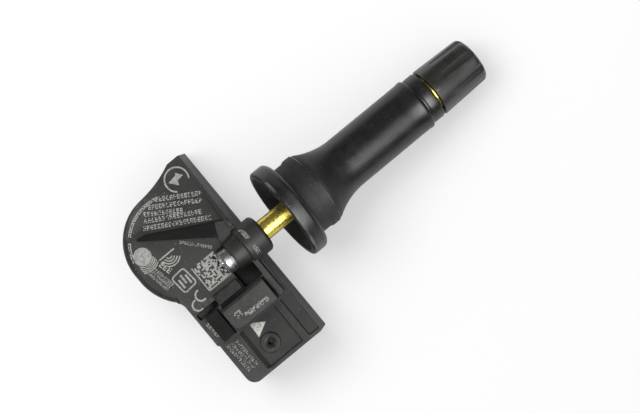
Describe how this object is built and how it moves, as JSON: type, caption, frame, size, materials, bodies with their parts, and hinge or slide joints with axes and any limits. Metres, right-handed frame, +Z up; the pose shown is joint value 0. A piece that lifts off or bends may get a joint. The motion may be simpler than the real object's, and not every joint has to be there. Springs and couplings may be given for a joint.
{
  "type": "tyre pressure sensor",
  "caption": "Tyre pressure sensor with a flat winged plastic housing on a snap-in rubber valve, with a brass stem, a pressable valve core and a screwed fluted cap.",
  "frame": {"origin": "bottom centre of the bounding box, on the table the sensor lies on", "axes": "+X from the housing to the valve cap, +Y toward the housing's wing, +Z up out of the labelled panel"},
  "size_m": [0.0754, 0.0422, 0.0216],
  "materials": {
    "housing_plastic": "satin, fine moulded grain",
    "cover_plastic": "satin",
    "board_laminate": "satin",
    "battery_steel": "satin",
    "tab_nickel": "satin",
    "chip_plastic": "matte",
    "gasket_silicone": "matte",
    "membrane_film": "matte",
    "antenna_brass": "satin",
    "coil_ferrite": "matte",
    "winding_copper": "gloss enamel",
    "crystal_steel": "satin",
    "capacitor_ceramic": "satin",
    "stem_brass": "bright, slightly rough",
    "stem_rubber": "semi-matte, dusty",
    "screw_zinc": "bright zinc",
    "core_brass": "satin",
    "spring_steel": "satin",
    "cap_plastic": "satin, lightly worn",
    "cap_rubber": "matte"
  },
  "bodies": {
    "sensor": {"housing": "housing_plastic", "base_cover": "cover_plastic", "circuit_board": "board_laminate", "battery_cell": "battery_steel", "battery_tab_top": "tab_nickel", "battery_tab_bottom": "tab_nickel", "sensor_chip": "chip_plastic", "port_gasket": "gasket_silicone", "port_membrane": "membrane_film", "loop_antenna": "antenna_brass", "coil_core": "coil_ferrite", "coil_winding": "winding_copper", "crystal_can": "crystal_steel", "board_capacitors": "capacitor_ceramic", "stem_tube": "stem_brass", "rubber_stem": "stem_rubber", "retaining_screw": "screw_zinc", "core_barrel": "core_brass", "core_seal": "gasket_silicone", "core_spring": "spring_steel"},
    "valve_pin": {"core_pin": "core_brass", "core_cup": "core_brass"},
    "cap_seal": {"cap_gasket": "cap_rubber"},
    "cap": {"cap_shell": "cap_plastic"}
  },
  "joints": [
    {"name": "core_press", "type": "slide", "parent": "sensor", "child": "valve_pin", "axis": [-0.9863, 0, 0.165], "range_m": [0, 0.0012], "stiffness_N_per_m": 800, "springref_m": -0.0015, "deforming": ["core_spring"]},
    {"name": "cap_lift", "type": "slide", "parent": "sensor", "child": "cap_seal", "axis": [0.9863, 0, -0.165], "range_m": [0, 0.00714]},
    {"name": "cap_turn", "type": "hinge", "parent": "cap_seal", "child": "cap", "pos_m": [0.03159, 0.00015, 0.00538], "axis": [0.9863, 0, -0.165], "range_deg": [0, 3240]}
  ],
  "couplings": [
    {"joint": "cap_turn", "follows": "cap_lift", "rad_per_m": 7915.8}
  ]
}
